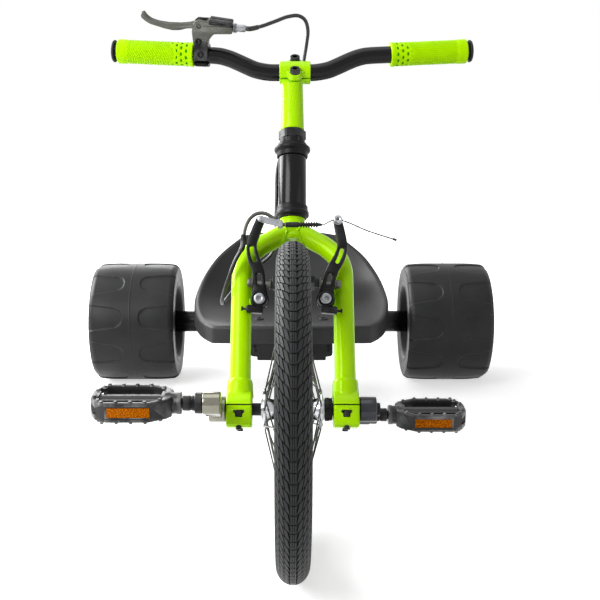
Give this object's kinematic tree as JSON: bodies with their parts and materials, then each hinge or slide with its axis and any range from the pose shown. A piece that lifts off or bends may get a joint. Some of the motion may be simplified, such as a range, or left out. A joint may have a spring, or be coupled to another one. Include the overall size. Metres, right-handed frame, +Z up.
{
  "type": "drift trike",
  "caption": "Pedalled drift trike with a spoked front wheel, hand-braked fork, low bucket seat and two wide moulded rear wheels.",
  "frame": {"origin": "centre of the bounding box in X and Y, on the floor plane the tyre and the rear wheels stand on", "axes": "+Z up, -Y towards the front wheel, +X to the rider's left"},
  "size_m": [0.73, 0.9904, 0.6618],
  "materials": {
    "black_paint": "gloss black paint on steel tube",
    "green_paint": "gloss bright green paint on steel",
    "black_steel": "blackened steel",
    "black_alloy": "black anodised alloy",
    "dark_alloy": "dark grey cast alloy",
    "steel": "plain turned steel",
    "chrome": "bright plated steel",
    "seat_plastic": "fine grained black plastic",
    "wheel_plastic": "blow-moulded black plastic",
    "pedal_plastic": "moulded black plastic",
    "green_rubber": "soft green moulded rubber",
    "black_rubber": "matt black rubber",
    "tyre_rubber": "dark tyre rubber with fine tread",
    "amber_reflector": "clear amber prismatic plastic"
  },
  "bodies": {
    "frame": {"frame": "black_paint", "lower_headset_cup": "black_steel", "upper_headset_cup": "black_steel", "seat": "seat_plastic", "seat_bolt_left": "black_steel", "seat_bolt_right": "black_steel", "rear_axle": "steel", "rear_axle_nut_left": "steel", "rear_axle_nut_right": "steel"},
    "crankset": {"front_axle": "black_steel", "drive_plate": "chrome", "crank_left": "chrome", "crank_right": "chrome", "crank_bolt_left": "black_steel", "crank_bolt_right": "black_steel", "pedal_spindle_left": "black_steel", "pedal_spindle_right": "black_steel"},
    "front_wheel": {"front_tyre": "tyre_rubber", "front_rim": "black_alloy", "spoked_hub": "chrome"},
    "pedal_left": {"pedal_left": "pedal_plastic", "pedal_reflector_left_front": "amber_reflector", "pedal_reflector_left_rear": "amber_reflector"},
    "pedal_right": {"pedal_right": "pedal_plastic", "pedal_reflector_right_front": "amber_reflector", "pedal_reflector_right_rear": "amber_reflector"},
    "rear_wheel_left": {"rear_wheel_left": "wheel_plastic"},
    "rear_wheel_right": {"rear_wheel_right": "wheel_plastic"},
    "brake_lever": {"brake_lever": "dark_alloy"},
    "brake_arm_left": {"brake_arm_left": "black_alloy", "brake_pad_left": "black_rubber", "wire_anchor_bolt": "chrome"},
    "brake_arm_right": {"brake_arm_right": "black_alloy", "brake_pad_right": "black_rubber", "cable_noodle": "chrome", "cable_boot": "black_rubber"},
    "fork": {"fork": "green_paint", "headset_lock_nut": "black_steel", "stem": "green_paint", "stem_cap": "green_paint", "stem_bolt_front": "black_steel", "stem_bolt_rear": "black_steel", "handlebar": "black_paint", "grip_left": "green_rubber", "grip_right": "green_rubber", "bar_plug_left": "black_rubber", "bar_plug_right": "black_rubber", "lever_perch": "dark_alloy", "cable_adjuster": "chrome", "axle_cap_left": "green_paint", "axle_cap_right": "green_paint", "axle_cap_bolt_left_front": "black_steel", "axle_cap_bolt_left_rear": "black_steel", "axle_cap_bolt_right_front": "black_steel", "axle_cap_bolt_right_rear": "black_steel", "fork_bearing_left": "steel", "fork_bearing_right": "steel", "brake_pivot_bolt_left": "chrome", "brake_pivot_bolt_right": "chrome", "brake_cable": "black_rubber"}
  },
  "joints": [
    {"name": "steering", "type": "hinge", "parent": "frame", "child": "fork", "pos_m": [0, -0.25211, 0.17896], "axis": [0, 0.4384, 0.8988], "range_deg": [-55, 55], "deforming": ["brake_cable"]},
    {"name": "crank_spin", "type": "hinge", "parent": "fork", "child": "crankset", "pos_m": [0, -0.29525, 0.2], "axis": [1, 0, 0], "continuous": true},
    {"name": "front_wheel_spin", "type": "hinge", "parent": "fork", "child": "front_wheel", "pos_m": [0, -0.29525, 0.2], "axis": [1, 0, 0], "continuous": true},
    {"name": "pedal_left_spin", "type": "hinge", "parent": "crankset", "child": "pedal_left", "pos_m": [0.176, -0.21616, 0.16142], "axis": [1, 0, 0], "continuous": true},
    {"name": "pedal_right_spin", "type": "hinge", "parent": "crankset", "child": "pedal_right", "pos_m": [-0.176, -0.37434, 0.23858], "axis": [1, 0, 0], "continuous": true},
    {"name": "rear_wheel_left_spin", "type": "hinge", "parent": "frame", "child": "rear_wheel_left", "pos_m": [0.2885, 0.38475, 0.1105], "axis": [1, 0, 0], "continuous": true},
    {"name": "rear_wheel_right_spin", "type": "hinge", "parent": "frame", "child": "rear_wheel_right", "pos_m": [-0.2885, 0.38475, 0.1105], "axis": [1, 0, 0], "continuous": true},
    {"name": "lever_squeeze", "type": "hinge", "parent": "fork", "child": "brake_lever", "pos_m": [-0.12054, -0.06397, 0.64385], "axis": [-0.1119, -0.8781, -0.4652], "range_deg": [0, 24], "stiffness_Nm_per_rad": 0.3, "springref_deg": -11.46},
    {"name": "brake_arm_left_swing", "type": "hinge", "parent": "fork", "child": "brake_arm_left", "pos_m": [0.04, -0.19424, 0.2976], "axis": [0, -0.8988, 0.4384], "range_deg": [0, 8]},
    {"name": "brake_arm_right_swing", "type": "hinge", "parent": "fork", "child": "brake_arm_right", "pos_m": [-0.04, -0.19424, 0.2976], "axis": [0, 0.8988, -0.4384], "range_deg": [0, 2], "deforming": ["cable_boot"]}
  ],
  "couplings": [
    {"joint": "brake_arm_left_swing", "follows": "lever_squeeze", "ratio": 0.33333},
    {"joint": "brake_arm_right_swing", "follows": "lever_squeeze", "ratio": 0.083333}
  ]
}
